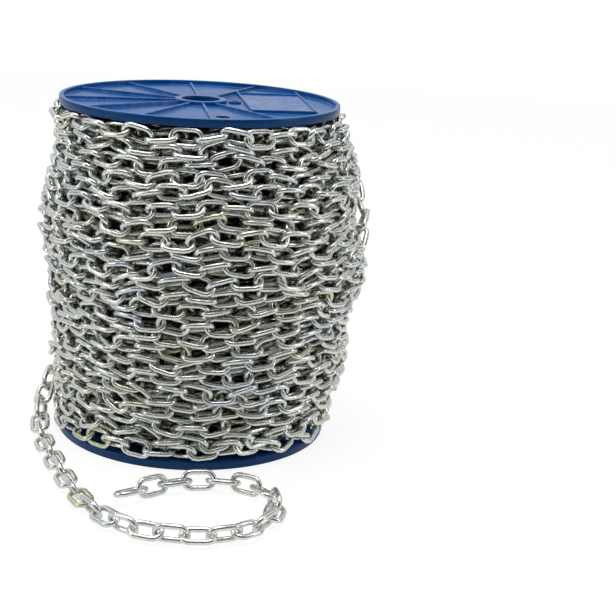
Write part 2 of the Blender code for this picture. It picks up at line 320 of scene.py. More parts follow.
def fine_relief_group():
    """A grainy normal: the texture of a mould, or the bloom of plating."""
    inputs = (
        ("Place", "NodeSocketVector", None),
        ("Scale", "NodeSocketFloat", 900.0),
        ("Strength", "NodeSocketFloat", 0.2),
        ("Depth", "NodeSocketFloat", 0.0001),
        ("Extra height", "NodeSocketFloat", 0.0),
    )
    tree, start, end = new_group("fine_relief", inputs, (("Normal", "NodeSocketVector"),))
    noise = node_at(tree, "ShaderNodeTexNoise", -600, 0, {"Detail": 3.0})
    add = node_at(tree, "ShaderNodeMath", -300, 0, operation="ADD")
    bump = node_at(tree, "ShaderNodeBump", 0, 0)
    link = tree.links.new
    link(start.outputs["Place"], noise.inputs["Vector"])
    link(start.outputs["Scale"], noise.inputs["Scale"])
    link(noise.outputs["Fac"], add.inputs[0])
    link(start.outputs["Extra height"], add.inputs[1])
    link(add.outputs[0], bump.inputs["Height"])
    link(start.outputs["Strength"], bump.inputs["Strength"])
    link(start.outputs["Depth"], bump.inputs["Distance"])
    link(bump.outputs["Normal"], end.inputs["Normal"])
    return tree


uneven_tone = uneven_tone_group()
fine_relief = fine_relief_group()
print("node groups:", [group.name for group in bpy.data.node_groups])

# %% [markdown]
# The reel's plastic.  A strong mid blue, moulded with a fine satin texture.  It is glossy enough
# to pick up a pale glare at flat angles.  Its edges and high ribs are painted a little paler, a
# painted highlight where light catches them: that is a mask from the surface's own convexity,
# broken into patches by a cloudy mask, so it follows every edge of the moulding.  The label panel
# was polished in the mould, so it is glossier, and gets only a faint painted edge highlight.

# %% Blue plastic
DEEP_BLUE = (0.002, 0.072, 0.260, 1.0)
MID_BLUE = (0.004, 0.098, 0.330, 1.0)
EDGE_HIGHLIGHT_BLUE = (0.060, 0.170, 0.480, 1.0)
CONVEX = {"From Min": 0.53, "From Max": 0.62}


def blue_plastic(name, satin, edge_highlight):
    """Moulded blue plastic with a satin from glossy to dull, and a painted edge highlight, more or less
    pale.
    """
    paint, tree, shader = new_material(name, {"Specular IOR Level": 0.25})
    place = node_at(tree, "ShaderNodeTexCoord", -1100, 0)
    tone = place_group(tree, uneven_tone, -800, 200, Scale=22.0, Low=0.35, High=0.70)
    highlight_patches = place_group(tree, uneven_tone, -800, -100, Scale=160.0, Low=0.42, High=0.66)
    relief = place_group(tree, fine_relief, -800, -400, Scale=1400.0, Strength=0.12, Depth=0.0001)
    form = node_at(tree, "ShaderNodeNewGeometry", -1100, -200)
    # Painted highlight: convex edges and rib tops are mixed towards a paler blue, in patches.
    edge = node_at(tree, "ShaderNodeMapRange", -800, -250, {**CONVEX, "To Max": edge_highlight})
    painted_edge_highlight = node_at(tree, "ShaderNodeMath", -550, -150, operation="MULTIPLY")
    depth = node_at(tree, "ShaderNodeMix", -500, 200, {"A": DEEP_BLUE, "B": MID_BLUE}, data_type="RGBA")
    pale = node_at(tree, "ShaderNodeMix", -250, 150, {"B": EDGE_HIGHLIGHT_BLUE}, data_type="RGBA")
    gloss = node_at(tree, "ShaderNodeMapRange", -450, -350, {"To Min": satin[0], "To Max": satin[1]})
    link = tree.links.new
    for group in (tone, highlight_patches, relief):
        link(place.outputs["Object"], group.inputs["Place"])
    link(form.outputs["Pointiness"], edge.inputs["Value"])
    link(edge.outputs["Result"], painted_edge_highlight.inputs[0])
    link(highlight_patches.outputs["Mask"], painted_edge_highlight.inputs[1])
    link(tone.outputs["Mask"], depth.inputs["Factor"])
    link(depth.outputs["Result"], pale.inputs["A"])
    link(painted_edge_highlight.outputs[0], pale.inputs["Factor"])
    link(pale.outputs["Result"], shader.inputs["Base Color"])
    link(tone.outputs["Mask"], gloss.inputs["Value"])
    link(gloss.outputs["Result"], shader.inputs["Roughness"])
    link(relief.outputs["Normal"], shader.inputs["Normal"])
    return paint


reel_plastic = blue_plastic("blue_plastic", (0.22, 0.34), 1.0)
panel_plastic = blue_plastic("panel_plastic", (0.10, 0.17), 0.25)
print("plastics:", reel_plastic.name, "and", panel_plastic.name)

# %% [markdown]
# The flanges.  Each is one moulding: a thin web in a raised rim, a hub ring round the bore, ribs
# that run out from the hub, and a bare label panel in a low frame.  The round parts are turned
# from a profile whose corners are arcs.  The ribs and the frame are a rib section swept along a
# path, with draft on its sides and a flared foot, as a mould needs.

# %% Turning and sweeping helpers
MITRE_LIMIT = 0.3


def arc(centre, radius, start, end, steps):
    """Points of an arc in a section, angles in degrees."""
    turn = [math.radians(start + (end - start) * i / steps) for i in range(steps + 1)]
    return [(centre[0] + radius * math.cos(a), centre[1] + radius * math.sin(a)) for a in turn]


def turn_profile(bm, section, sides, centre=(0.0, 0.0)):
    """Turn a closed (radius, height) section about an upright line, into a ring-shaped body."""
    rings = []
    for radius, height in section:
        ring = []
        for j in range(sides):
            angle = 2 * math.pi * j / sides
            x = centre[0] + radius * math.cos(angle)
            y = centre[1] + radius * math.sin(angle)
            ring.append(bm.verts.new((x, y, height)))
        rings.append(ring)
    for i, ring in enumerate(rings):
        above = rings[(i + 1) % len(rings)]
        for j in range(sides):
            k = (j + 1) % sides
            bm.faces.new((ring[j], ring[k], above[k], above[j]))


def sweep_section(bm, section, path, closed=False):
    """Sweep a closed (aside, height) section along level path points, mitred at each."""
    count = len(path)
    points = [Vector(p) for p in path]
    rings = []
    for i, point in enumerate(points):
        before = points[i - 1] if (closed or i > 0) else point
        after = points[(i + 1) % count] if (closed or i < count - 1) else point
        into = (point - before).normalized() if before != point else (after - point).normalized()
        out = (after - point).normalized() if after != point else into
        aside_in = Vector((into.y, -into.x))
        aside_out = Vector((out.y, -out.x))
        aside = (aside_in + aside_out).normalized()
        aside /= max(aside.dot(aside_in), MITRE_LIMIT)
        rings.append([bm.verts.new((*(point + aside * s), z)) for s, z in section])
    last = count if closed else count - 1
    sides = len(section)
    for i in range(last):
        ring, ahead = rings[i], rings[(i + 1) % count]
        for j in range(sides):
            k = (j + 1) % sides
            bm.faces.new((ring[j], ahead[j], ahead[k], ring[k]))
    if not closed:
        bm.faces.new(rings[0])
        bm.faces.new(list(reversed(rings[-1])))


# %% Sizes of the moulding
RIM_WALL = 0.0035
INNER_RIM = FLANGE_RADIUS - RIM_WALL
WEB = 0.0026
BORE_RADIUS = 0.015
HUB_RADIUS = 0.0205
HUB_TOP = RIM_HEIGHT - 0.0004
RIB_TOP = RIM_HEIGHT - 0.0012
RIB_WIDTH = 0.0022
SPOKES = 12
SPOKE_OFFSET = math.radians(5)
PANEL_SPOKES = (11, 0, 1)
PANEL_NEAR, PANEL_FAR, PANEL_HALF_WIDTH = 0.034, 0.086, 0.048
PANEL_BORDER = 0.0018
PANEL_CORNER = 0.0016
PANEL_FLOOR = WEB + 0.0014
PANEL_PAINT = 1
NEAR_WALL_REACH = 0.064
TIE_HOLE = (0.0735, math.radians(-77), 0.0055)
PEG_HOLE = (0.0275, math.radians(12), 0.0030)
PEG_BOSS_WALL = 0.0020
PEG_BOSS_TOP = RIB_TOP - 0.001
SINK = 0.0004
ROUND_SIDES = 192
HOLE_SIDES = 48
FILLET_STEPS = 4
SHARP = math.radians(32)
print("height of the rim:", round(RIM_HEIGHT, 5), "of the ribs:", round(RIB_TOP, 5))

# %% Sections and paths of the moulding


def polar(radius, angle):
    """A level point from its radius and angle."""
    return (radius * math.cos(angle), radius * math.sin(angle))


def turned_about(points, angle):
    """Level points turned about the reel's axis."""
    c, s = math.cos(angle), math.sin(angle)
    return [(c * x - s * y, s * x + c * y) for x, y in points]


def flange_section():
    """The turned part's section: rim, web and hub ring, with every corner rounded."""
    edge, foot = 0.0007, 0.0010
    lip = edge * 0.6
    section = arc((FLANGE_RADIUS - edge, edge), edge, -90, 0, FILLET_STEPS)
    section += arc((FLANGE_RADIUS - edge, RIM_HEIGHT - edge), edge, 0, 90, FILLET_STEPS)
    section += arc((INNER_RIM + lip, RIM_HEIGHT - lip), lip, 90, 180, FILLET_STEPS)
    section += arc((INNER_RIM - foot, WEB + foot), foot, 0, -90, FILLET_STEPS)
    section += arc((HUB_RADIUS + foot, WEB + foot), foot, -90, -180, FILLET_STEPS)
    section += arc((HUB_RADIUS - edge, HUB_TOP - edge), edge, 0, 90, FILLET_STEPS)
    section += arc((BORE_RADIUS + edge, HUB_TOP - edge), edge, 90, 180, FILLET_STEPS)
    section += arc((BORE_RADIUS + edge, edge), edge, 180, 270, FILLET_STEPS)
    return section


def rib_section(width, foot, top):
    """Half a rib mirrored: a flared foot sunk in the web, drafted sides and a rounded top."""
    half, flare, crown, draft = width / 2, 0.0007, 0.0005, 0.00015
    right = [(half + flare, foot - SINK), (half + flare, foot)]
    right += arc((half + flare, foot + flare), flare, -90, -180, 3)[1:]
    right += arc((half - draft - crown, top - crown), crown, 5, 90, 3)
    return right + [(-x, z) for x, z in reversed(right)]


def rounded_rectangle(near, far, half, radius, steps):
    """A level path round a rectangle with rounded corners, anticlockwise."""
    corners = (
        ((far - radius, half - radius), 0),
        ((near + radius, half - radius), 90),
        ((near + radius, -half + radius), 180),
        ((far - radius, -half + radius), 270),
    )
    path = []
    for centre, start in corners:
        path += arc(centre, radius, start, start + 90, steps)
    return path


print("points of the flange's section:", len(flange_section()))

# %% Turned disc with its holes


def drill(work, at, radius):
    """Cut an upright round hole through a body with a Boolean."""
    bm = bmesh.new()
    size = {"radius1": radius, "radius2": radius, "depth": 4 * RIM_HEIGHT}
    place = Matrix.Translation((*at, 0.0))
    bmesh.ops.create_cone(bm, cap_ends=True, segments=HOLE_SIDES, matrix=place, **size)
    mesh = bpy.data.meshes.new("drill")
    bm.to_mesh(mesh)
    bm.free()
    cutter = add_object("drill", mesh)
    modifier = work.modifiers.new("drill", "BOOLEAN")
    modifier.operation = "DIFFERENCE"
    modifier.object = cutter
    return cutter


def drilled(mesh, holes):
    """A copy of a mesh with round holes through it."""
    work = add_object("drilled_body", mesh)
    cutters = [drill(work, at, radius) for at, radius in holes]
    ready = work.evaluated_get(bpy.context.evaluated_depsgraph_get())
    finished = bpy.data.meshes.new_from_object(ready)
    for obj in (work, *cutters):
        bpy.data.objects.remove(obj, do_unlink=True)
    return finished


def flange_disc():
    """Rim, web and hub ring in one, with the tie hole and the peg hole."""
    bm = bmesh.new()
    turn_profile(bm, flange_section(), ROUND_SIDES)
    disc = bpy.data.meshes.new("disc")
    bm.to_mesh(disc)
    bm.free()
    return drilled(disc, [(polar(away, angle), radius) for away, angle, radius in (TIE_HOLE, PEG_HOLE)])


disc = flange_disc()
print("vertices of the drilled disc:", len(disc.vertices))

# %% Ribs, label panel and peg boss


def add_ribs(bm):
    """Ribs from the hub to the rim, except where the label panel lies."""
    section = rib_section(RIB_WIDTH, WEB, RIB_TOP)
    for spoke in range(SPOKES):
        if spoke in PANEL_SPOKES:
            continue
        angle = SPOKE_OFFSET + spoke * 2 * math.pi / SPOKES
        ends = (polar(HUB_RADIUS - SINK, angle), polar(INNER_RIM + SINK, angle))
        sweep_section(bm, section, ends)


def add_label_panel(bm):
    """A bare plate in a raised border, whose long sides run on as walls towards the rim."""
    mid_border = PANEL_BORDER / 2
    near, far, half = PANEL_NEAR + mid_border, PANEL_FAR - mid_border, PANEL_HALF_WIDTH - mid_border
    outline = rounded_rectangle(near, far, half, PANEL_CORNER, FILLET_STEPS)
    outline = turned_about(outline, SPOKE_OFFSET)
    border = rib_section(PANEL_BORDER, WEB, RIB_TOP)
    sweep_section(bm, border, outline, closed=True)
    to_rim = math.sqrt((INNER_RIM + SINK) ** 2 - far**2)
    for line, side, to in ((near, 1, NEAR_WALL_REACH), (far, 1, to_rim), (far, -1, to_rim)):
        wall = [(line, side * (half + mid_border * 0.5)), (line, side * to)]
        sweep_section(bm, border, turned_about(wall, SPOKE_OFFSET))

    lower = [bm.verts.new((*p, WEB - SINK)) for p in outline]
    upper = [bm.verts.new((*p, PANEL_FLOOR)) for p in outline]
    bm.faces.new(upper).material_index = PANEL_PAINT
    bm.faces.new(list(reversed(lower)))
    for i in range(len(outline)):
        k = (i + 1) % len(outline)
        bm.faces.new((lower[i], lower[k], upper[k], upper[i]))


def add_peg_boss(bm):
    """A low round wall about the peg hole."""
    away, angle, inner = PEG_HOLE
    outer = inner + PEG_BOSS_WALL
    edge, lip = 0.0005, 0.0004
    boss = [(inner, WEB - SINK), (outer, WEB - SINK)]
    boss += arc((outer - edge, PEG_BOSS_TOP - edge), edge, 0, 90, 3)
    boss += arc((inner + lip, PEG_BOSS_TOP - lip), lip, 90, 180, 3)
    turn_profile(bm, boss, HOLE_SIDES, polar(away, angle))


def flange_mesh():
    """One flange, outer face up, its inner face on z = 0."""
    bm = bmesh.new()
    bm.from_mesh(disc)
    for add_part in (add_ribs, add_label_panel, add_peg_boss):
        add_part(bm)
    bmesh.ops.recalc_face_normals(bm, faces=bm.faces[:])
    mesh = bpy.data.meshes.new("flange")
    bm.to_mesh(mesh)
    bm.free()
    mesh.shade_smooth()
    mesh.set_sharp_from_angle(angle=SHARP)
    mesh.materials.clear()
    mesh.materials.append(reel_plastic)
    mesh.materials.append(panel_plastic)
    return mesh


# %% Both flanges and the barrel


def new_piece(name, mesh, paint, replaced, body="root"):
    """Put a finished mesh in the scene as a piece of the object."""
    mesh.name = name
    if not mesh.materials:
        mesh.materials.append(paint)
    piece = add_object(name, mesh)
    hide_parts(*replaced)
    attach(piece, body)


upper_moulding = flange_mesh()
lower_moulding = upper_moulding.copy()
turned_over = Matrix.Rotation(math.pi, 4, "X")
upper_moulding.transform(Matrix.Translation(AXIS + Vector((0, 0, REEL_HEIGHT - RIM_HEIGHT))))
lower_moulding.transform(Matrix.Translation(AXIS + Vector((0, 0, RIM_HEIGHT))) @ turned_over)
new_piece("upper_moulding", upper_moulding, reel_plastic, ["top_flange"])
new_piece("lower_moulding", lower_moulding, reel_plastic, ["bottom_flange"])
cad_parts["reel_barrel"].data.materials.clear()
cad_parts["reel_barrel"].data.materials.append(reel_plastic)
print("flange triangles:", sum(len(p.vertices) - 2 for p in upper_moulding.polygons))

# %% [markdown]
# The chain's zinc.  Bright plating is a thin layer of metal with a cloudy bloom.  Drawn wire
# keeps fine lines along its length, and each link is welded across one leg.  A few links took on
# a yellow or a blue tinge in the bath.  The meshes carry two attributes for this: the place along
# and round the wire, and one random number for each link.

# %% Zinc plating
TINGES = (
    (0.00, (0.66, 0.69, 0.76)),
    (0.06, (0.76, 0.79, 0.78)),
    (0.60, (0.82, 0.84, 0.79)),
    (0.90, (0.78, 0.80, 0.72)),
    (1.00, (0.72, 0.73, 0.54)),
)


def zinc_plating(name, tone=(1.0, 1.0, 1.0)):
    """Zinc-plated wire, with drawn lines, a cloudy bloom and a tinge on a few links.

    The tone darkens and warms the whole material: painted shade for the layers deep in the winding, white
    for the links in front.
    """
    paint, tree, shader = new_material(name, {"Metallic": 1.0})
    wire_place = node_at(tree, "ShaderNodeAttribute", -1500, 0, attribute_name="wire_place")
    tinge = node_at(tree, "ShaderNodeAttribute", -1500, 300, attribute_name="tinge")
    place = node_at(tree, "ShaderNodeTexCoord", -1500, -300)
    lines = node_at(tree, "ShaderNodeTexNoise", -1200, -100, {"Scale": 1.0, "Detail": 2.0})
    bloom = place_group(tree, uneven_tone, -1200, 100, Scale=210.0, Low=0.38, High=0.66)
    stain = place_group(tree, uneven_tone, -1200, -350, Scale=60.0, Low=0.50, High=0.72)
    relief = place_group(tree, fine_relief, -800, -500, Scale=1500.0, Strength=0.35, Depth=0.0001)
    colour = node_at(tree, "ShaderNodeValToRGB", -1200, 400)
    ramp_stops(colour, [(at, tuple(c * t for c, t in zip(tint, tone))) for at, tint in TINGES])
    whole = {"Factor": 1.0}
    dull = node_at(tree, "ShaderNodeMix", -700, 250, whole, data_type="RGBA", blend_type="MULTIPLY")
    shade = node_at(tree, "ShaderNodeMapRange", -900, 50, {"To Min": 1.0, "To Max": 0.76})
    gloss = node_at(tree, "ShaderNodeMapRange", -900, -150, {"To Min": 0.15, "To Max": 0.36})
    link = tree.links.new
    link(tinge.outputs["Fac"], colour.inputs["Fac"])
    link(wire_place.outputs["Vector"], lines.inputs["Vector"])
    for group in (bloom, stain, relief):
        link(place.outputs["Object"], group.inputs["Place"])
    link(colour.outputs["Color"], dull.inputs["A"])
    link(stain.outputs["Mask"], shade.inputs["Value"])
    link(shade.outputs["Result"], dull.inputs["B"])
    link(bloom.outputs["Mask"], gloss.inputs["Value"])
    link(lines.outputs["Fac"], relief.inputs["Extra height"])
    link(dull.outputs["Result"], shader.inputs["Base Color"])
    link(gloss.outputs["Result"], shader.inputs["Roughness"])
    link(relief.outputs["Normal"], shader.inputs["Normal"])
    return paint


# Painted shade: each layer deeper in the winding gets a darker and warmer copy of the zinc.
zinc = zinc_plating("zinc_plating")
second_layer_shaded_zinc = zinc_plating("second_layer_shaded_zinc", (0.66, 0.65, 0.60))
third_layer_shaded_zinc = zinc_plating("third_layer_shaded_zinc", (0.36, 0.34, 0.30))
inner_shaded_zinc = zinc_plating("inner_shaded_zinc", (0.16, 0.15, 0.13))
print("zinc in four depths of the winding, with", len(TINGES), "tinges")

# %% [markdown]
# One link.  The wire's middle line is a stadium: two half circles joined by two legs.  One leg
# has a slight swelling where the ends were welded.  The shape is kept as plain arrays, because
# thousands of links are then placed in one step, each by its own middle and three directions.

# %% Link shape
WELD_SWELL = 0.05
WELD_HALF = 0.0011
WELD_SHAPE = ((2.2, 1.0), (1.0, 1 + WELD_SWELL), (-0.4, 1 + WELD_SWELL), (-1.8, 1.0))
LINES_ALONG = 60.0
LINES_ROUND = 4.0


def link_line(arc_steps, weld):
    """Middle-line points, outward directions, thickness and distance along the wire."""
    points, outward, swell = [], [], []
    for end in (0, 1):
        for i in range(arc_steps + 1):
            angle = -math.pi / 2 + math.pi * (end + i / arc_steps)
            away = (math.cos(angle), math.sin(angle))
            points.append((away[0] * BEND + (1 - 2 * end) * HALF_STRAIGHT, away[1] * BEND))
            outward.append(away)
            swell.append(1.0)
        if end == 0 and weld:
            for x, thick in WELD_SHAPE:
                points.append((x * WELD_HALF, BEND))
                outward.append((0.0, 1.0))
                swell.append(thick)
    points, outward = np.array(points), np.array(outward)
    steps = np.linalg.norm(np.roll(points, -1, axis=0) - points, axis=1)
    along = np.concatenate([[0.0], np.cumsum(steps)[:-1]])
    return points, outward, np.array(swell), along


def link_shape(arc_steps, sides, weld=True):
    """Vertices, faces and wire places of one link that lies flat along X about its middle."""
    points, outward, swell, along = link_line(arc_steps, weld)
    around = -2 * np.pi * (np.arange(sides) + 0.5) / sides
    radius = WIRE / 2 * swell[:, None]
    out = radius * np.cos(around)[None, :]
    verts = np.zeros((len(points), sides, 3))
    verts[:, :, :2] = points[:, None, :] + out[:, :, None] * outward[:, None, :]
    verts[:, :, 2] = radius * np.sin(around)[None, :]
    i = np.arange(len(points))[:, None]
    j = np.arange(sides)[None, :]
    ring, ahead, beside = i * sides, (i + 1) % len(points) * sides, (j + 1) % sides
    corners = np.stack(np.broadcast_arrays(ring + j, ring + beside, ahead + beside, ahead + j), -1)
    place = np.zeros((len(points), sides, 3))
    place[:, :, 0] = along[:, None] * LINES_ALONG
    place[:, :, 1] = np.cos(around)[None, :] * LINES_ROUND
    place[:, :, 2] = np.sin(around)[None, :] * LINES_ROUND
    return verts.reshape(-1, 3), corners.reshape(-1, 4), place.reshape(-1, 3)


loose_shape = link_shape(8, 14)
print("a loose link has", len(loose_shape[0]), "vertices")

# %% Many links in one mesh
LINES_APART = 50.0


def links_mesh(name, middles, axes, shape, rng):
    """Many links joined in one mesh, with their wire places and one tinge for each link."""
    verts, faces, place = shape
    count, per = len(middles), len(verts)
    world = middles[:, None, :] + np.einsum("vk,nkj->nvj", verts, axes)
    quads = (faces[None, :, :] + (np.arange(count) * per)[:, None, None]).reshape(-1, 4)
    mesh = bpy.data.meshes.new(name)
    mesh.vertices.add(count * per)
    mesh.vertices.foreach_set("co", world.astype(np.float32).ravel())
    mesh.loops.add(quads.size)
    mesh.loops.foreach_set("vertex_index", quads.astype(np.int32).ravel())
    mesh.polygons.add(len(quads))
    mesh.polygons.foreach_set("loop_start", np.arange(0, quads.size, 4, dtype=np.int32))
    mesh.update(calc_edges=True)
    mesh.shade_smooth()
    tinge = mesh.attributes.new("tinge", "FLOAT", "POINT")
    tinge.data.foreach_set("value", np.repeat(rng.random(count), per).astype(np.float32))
    wire = mesh.attributes.new("wire_place", "FLOAT_VECTOR", "POINT")
    shift = np.repeat(rng.random((count, 1, 3)) * LINES_APART, per, axis=1)
    wire.data.foreach_set("vector", (place[None] + shift).astype(np.float32).ravel())
    return mesh


# %% [markdown]
# The winding's envelope.  The chain bulges most at two thirds of the reel's height, and more on
# the right than on the left.  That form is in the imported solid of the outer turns, so it is read
# from there: at each height the reach is a mean plus a part that grows towards +X.

# %% Reach of the winding, in millimetres about the reel's axis
MM = 1000.0
HEIGHT_BINS = 24
SECTORS = 24
OFF_THE_INSIDE = 5.0


def winding_reach():
    """Heights, mean reach and lopsidedness of the winding's outermost wires."""
    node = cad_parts["chain_outer_turns"]
    spots = np.array([v.co for v in node.data.vertices]) - np.array(AXIS)
    radius = np.hypot(spots[:, 0], spots[:, 1]) * MM
    angle = np.arctan2(spots[:, 1], spots[:, 0])
    height = spots[:, 2] * MM
    outside = radius > radius.min() + OFF_THE_INSIDE
    radius, angle, height = radius[outside], angle[outside], height[outside]
    edges = np.linspace(height.min(), height.max(), HEIGHT_BINS + 1)
    rows = []
    for low, high in zip(edges[:-1], edges[1:]):
        here = (height >= low) & (height <= high)
        sector = np.floor((angle[here] + np.pi) / (2 * np.pi) * SECTORS).astype(int) % SECTORS
        best = [(s, radius[here][sector == s].max()) for s in np.unique(sector)]
        turn = np.array([-np.pi + (s + 0.5) * 2 * np.pi / SECTORS for s, _ in best])
        most = np.array([r for _, r in best])
        fit = np.linalg.lstsq(np.stack([np.ones_like(turn), np.cos(turn)], 1), most, rcond=None)[0]
        rows.append(((low + high) / 2, fit[0], fit[1]))
    return np.array(rows).T


reach_height, reach_mean, reach_lean = winding_reach()


def reach(height, angle):
    """How far the outermost wires may reach at a height and an angle, in millimetres."""
    mean = np.interp(height, reach_height, reach_mean)
    return mean + np.interp(height, reach_height, reach_lean) * np.cos(angle)


print("reach at the bulge:", round(float(reach_mean.max()), 1), "+-", round(float(reach_lean.max()), 1))

# %% [markdown]
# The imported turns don't fill that envelope evenly.  They lie in shallow lumps and hang a little
# over the flanges' edges.  On the right they lie deeper in two places, and over the upper one a
# slipped turn stands off in a slack loop; on the left they are drawn in near the top.

# %% Lumps, hollows and overhang
LUMP = 0.6
OVERHANG = 5.5
OVERHANG_SPREAD = 26.0
HOLLOWS = (
    {"depth": 12.0, "angle": -4.0, "half_angle": 46.0, "height": 182.0, "spread": 42.0},
    {"depth": 6.0, "angle": 0.0, "half_angle": 46.0, "height": 98.0, "spread": 34.0},
    {"depth": 4.5, "angle": 180.0, "half_angle": 50.0, "height": 226.0, "spread": 34.0},
)


def soft_bump(t):
    """One in the middle and nothing beyond -1 and 1, with a round top."""
    return np.cos(np.pi / 2 * np.clip(t, -1, 1)) ** 2


def hollow(height, angle):
    """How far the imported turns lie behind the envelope, in millimetres."""
    deep = LUMP * (1 + np.sin(0.19 * height + 2 * angle + 1.0) * np.sin(6 * angle - 0.05 * height))
    for place in HOLLOWS:
        aside = (np.degrees(angle) - place["angle"] + 180.0) % 360.0 - 180.0
        across = soft_bump(aside / place["half_angle"])
        deep = deep + place["depth"] * across * soft_bump((height - place["height"]) / place["spread"])
    for end in (RIM_HEIGHT * MM, (REEL_HEIGHT - RIM_HEIGHT) * MM):
        deep = deep - OVERHANG * soft_bump((height - end) / OVERHANG_SPREAD)
    return deep


print("deepest hollow:", round(float(hollow(HOLLOWS[0]["height"], math.radians(HOLLOWS[0]["angle"]))), 1))

# %% [markdown]
# Laying the chain.  Chain is wound like thread: each strand is a helix that rides on the one
# below.  Three layers of real links are enough to hide the core.  A strand's path is a helix with
# slow waves; its links are set along it a step apart, each turned a quarter against the last.

# %% Lines and waves
SEED = 20
STEP = 18.35
WAVES = ((3, 2.6, 0.021), (5, 1.7, -0.034), (2, 2.2, 0.013), (8, 0.8, 0.05))
OWN_PACE = 2.7

rng = np.random.default_rng(SEED)
wave_phase = rng.random(len(WAVES)) * 2 * np.pi


def shared_wave(angle, height):
    """Up and down waves that neighbouring rows follow together, in millimetres."""
    total = 0.0
    for (beats, size, climb), phase in zip(WAVES, wave_phase):
        total = total + size * np.sin(beats * angle + climb * height + phase)
    return total


def own_wave(turns, size, rng, pace=OWN_PACE):
    """Small waves of one strand alone, in the unit of their size."""
    total = 0.0
    for k in range(1, 5):
        beat = 0.8 + 0.4 * rng.random()
        phase = 7 * rng.random()
        total = total + size / k * np.sin(pace * k * 2 * np.pi * turns * beat + phase)
    return total


def gone_along(line):
    """The distance gone at each point of a fine line."""
    return np.concatenate([[0.0], np.cumsum(np.linalg.norm(np.diff(line, axis=0), axis=1))])


def at_marks(line, gone, marks):
    """Points of a fine line at marked distances."""
    return np.stack([np.interp(marks, gone, column) for column in line.T], 1)


def joints_round(radius, angle, height):
    """Points a link's step apart along a fine line about the reel's axis."""
    line = np.stack([radius * np.cos(angle), radius * np.sin(angle), height], 1)
    gone = gone_along(line)
    return at_marks(line, gone, np.arange(0.0, gone[-1], STEP))


print("highest of the shared waves:", sum(size for _, size, _ in WAVES), "mm")

# %% Strand paths
LAYER_INSET = (4.8, 16.2, 27.4)
LAYER_ROWS = (25, 24, 24)
LOWEST_ROW = 14.2
HIGHEST_ROW = 255.8
FINE_STEPS = 720
OWN_RISE = 1.3
OWN_DEPTH = 0.8
SLACK_ANGLES = (-38.0, 30.0)
SLACK_HEIGHTS = (144.0, 222.0)
SLACK_FINE_STEPS = 400
SLACK_INSET = 5.0
SLACK_TUCK = 8.0


def strand_joints(inset, rows, first_height, last_height, first_angle, rng):
    """Points where the strand's links join, along its helix."""
    turns = np.linspace(0.0, rows, int(rows * FINE_STEPS))
    angle = first_angle + 2 * np.pi * turns
    height = first_height + (last_height - first_height) * turns / rows
    middle = np.sin(np.pi * np.clip((height - LOWEST_ROW) / (HIGHEST_ROW - LOWEST_ROW), 0, 1)) ** 0.5
    height = height + middle * shared_wave(angle, height) + own_wave(turns, OWN_RISE, rng)
    height = np.clip(height, LOWEST_ROW, HIGHEST_ROW)
    radius = reach(height, angle) - hollow(height, angle) - inset + own_wave(turns, OWN_DEPTH, rng)
    return joints_round(radius, angle, height)


def slack_joints():
    """Joints of the slack loop, which comes out from under the turns and goes back under them."""
    t = np.linspace(0.0, 1.0, SLACK_FINE_STEPS)
    angle = np.radians(SLACK_ANGLES[0] + (SLACK_ANGLES[1] - SLACK_ANGLES[0]) * t)
    height = SLACK_HEIGHTS[0] + (SLACK_HEIGHTS[1] - SLACK_HEIGHTS[0]) * t * t * (3 - 2 * t)
    tucked = np.maximum(hollow(height, angle), 0.0) + SLACK_TUCK
    radius = reach(height, angle) - SLACK_INSET - tucked * (1 - np.sin(np.pi * t) ** 0.7)
    return joints_round(radius, angle, height)


print("links in the slack loop:", len(slack_joints()) - 1)

# %% Links on a strand
LEVEL = np.array([1.0, 1.0, 0.0])


def unit(rows):
    """Each row with length one."""
    return rows / np.linalg.norm(rows, axis=1, keepdims=True)


def links_on(joints, twist):
    """Middles and directions of links between joints, each a quarter turn from the last."""
    middles = (joints[1:] + joints[:-1]) / 2
    along = unit(joints[1:] - joints[:-1])
    upright = unit(np.cross(unit(middles * LEVEL), along))
    away = np.cross(along, upright)
    roll = twist + np.pi / 2 * (np.arange(len(middles)) % 2)
    wide = np.cos(roll)[:, None] * upright + np.sin(roll)[:, None] * away
    flat = np.cross(along, wide)
    return middles, np.stack([along, wide, flat], 1)


# %% [markdown]
# Settling.  Links laid by rule would cut through each other, so they are pushed apart.  Each
# link is a stiff row of balls along its wire.  Balls of two links that touch push both away and
# turn them, neighbours in a strand stay hooked together, and the core, the flanges and the
# envelope hold the whole.  A few hundred small rounds give a winding in which wire lies on wire.

# %% Balls on a link
BALLS = 18
TOUCH = 4.1


def ball_places():
    """Places of the balls on a link, evenly along its middle line, in millimetres."""
    points = link_line(12, False)[0]
    closed = np.vstack([points, points[:1]]) * MM
    gone = gone_along(closed)
    flat = at_marks(closed, gone, np.arange(BALLS) * gone[-1] / BALLS)
    return np.hstack([flat, np.zeros((BALLS, 1))])


balls = ball_places()
ball_inertia = np.stack([balls[:, 1] ** 2, balls[:, 0] ** 2, balls[:, 0] ** 2 + balls[:, 1] ** 2], 1)
print("balls on a link:", BALLS, "apart by", round(float(np.linalg.norm(balls[1] - balls[0])), 2), "mm")

# %% Balls that are near each other
CELLS = [(x, y, z) for x in (-1, 0, 1) for y in (-1, 0, 1) for z in (-1, 0, 1)]
CELLS_AHEAD = [cell for cell in CELLS if cell >= (0, 0, 0)]


